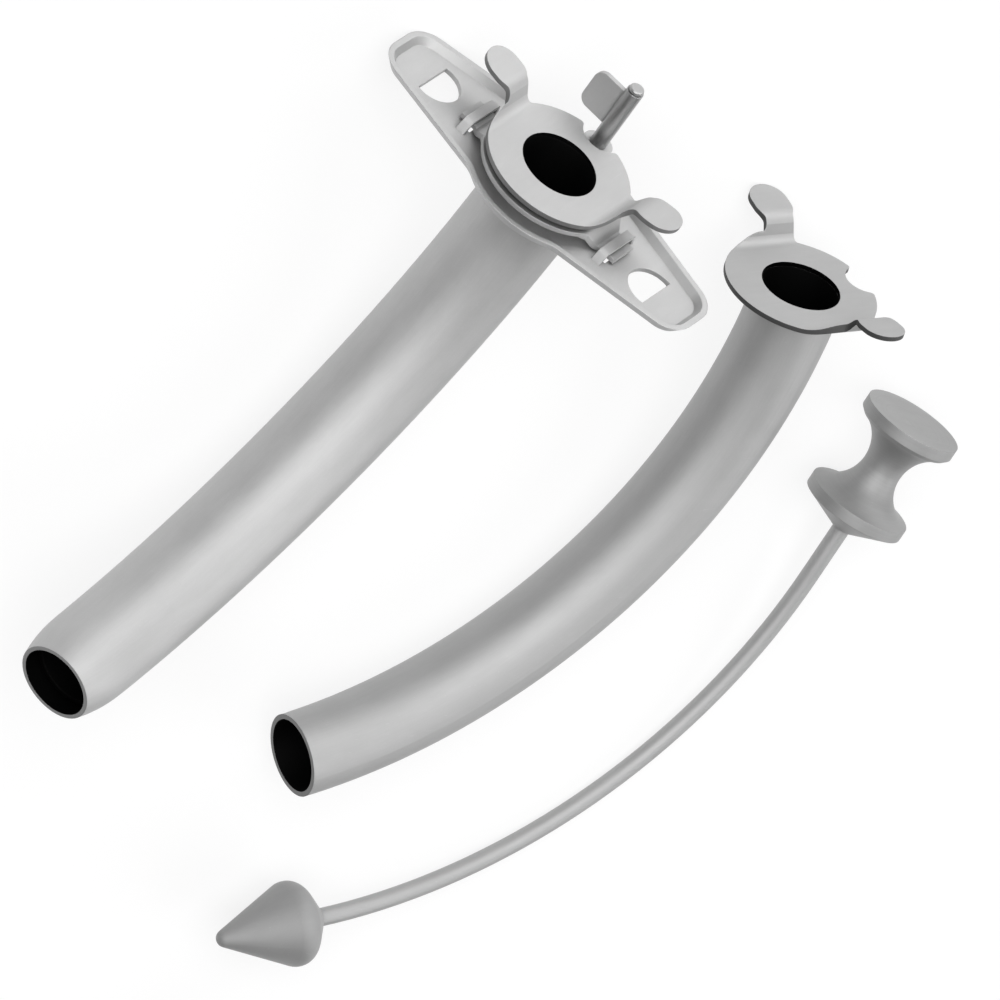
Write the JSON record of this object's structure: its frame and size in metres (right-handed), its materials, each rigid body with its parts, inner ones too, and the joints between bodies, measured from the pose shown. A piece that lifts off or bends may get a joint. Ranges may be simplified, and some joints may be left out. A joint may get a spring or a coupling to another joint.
{
  "type": "tracheostomy tube",
  "caption": "Curved metal airway tube with a rocking neck plate, a turn lock and a draw-out inner tube, laid out with a spare inner tube and a pilot.",
  "frame": {"origin": "middle of the laid-out set's footprint, on the surface it lies on", "axes": "+Z up; seen from above with +X right and +Y up, the tubes' mouths are at the upper right, and the assembled tube, the spare inner tube and the pilot follow each other from the upper left to the lower right"},
  "size_m": [0.1164, 0.11, 0.0321],
  "materials": {
    "outer_tube": "satin, bead-blasted",
    "outer_tube_flange": "satin, bead-blasted",
    "neck_plate": "satin, bead-blasted",
    "lock_pin": "turned and polished",
    "lock_key": "satin",
    "inner_tube": "satin, bead-blasted",
    "inner_tube_collar": "satin, bead-blasted",
    "spare_inner_tube": "satin, bead-blasted",
    "spare_inner_tube_collar": "satin, bead-blasted",
    "pilot_rod": "satin",
    "pilot_tip": "satin, bead-blasted",
    "pilot_knob": "satin, turned"
  },
  "bodies": {
    "outer_tube_set": {"outer_tube": "outer_tube", "outer_tube_flange": "outer_tube_flange", "lock_pin": "lock_pin", "spare_inner_tube": "spare_inner_tube", "spare_inner_tube_collar": "spare_inner_tube_collar", "pilot_rod": "pilot_rod", "pilot_tip": "pilot_tip", "pilot_knob": "pilot_knob"},
    "neck_plate": {"neck_plate": "neck_plate"},
    "lock_key": {"lock_key": "lock_key"},
    "inner_tube": {"inner_tube": "inner_tube", "inner_tube_collar": "inner_tube_collar"}
  },
  "joints": [
    {"name": "neck_plate_rock", "type": "hinge", "parent": "outer_tube_set", "child": "neck_plate", "pos_m": [0.00705, 0.04, 0.01588], "axis": [0.5139, -0.6168, 0.5962], "range_deg": [-6, 6]},
    {"name": "lock_turn", "type": "hinge", "parent": "outer_tube_set", "child": "lock_key", "pos_m": [0.01559, 0.04293, 0.01156], "axis": [0.3555, 0.7856, 0.5063], "range_deg": [0, 90]},
    {"name": "inner_tube_draw", "type": "hinge", "parent": "outer_tube_set", "child": "inner_tube", "pos_m": [-0.0418, 0.03938, 0.05735], "axis": [0.5139, -0.6168, 0.5962], "range_deg": [0, 85]}
  ]
}
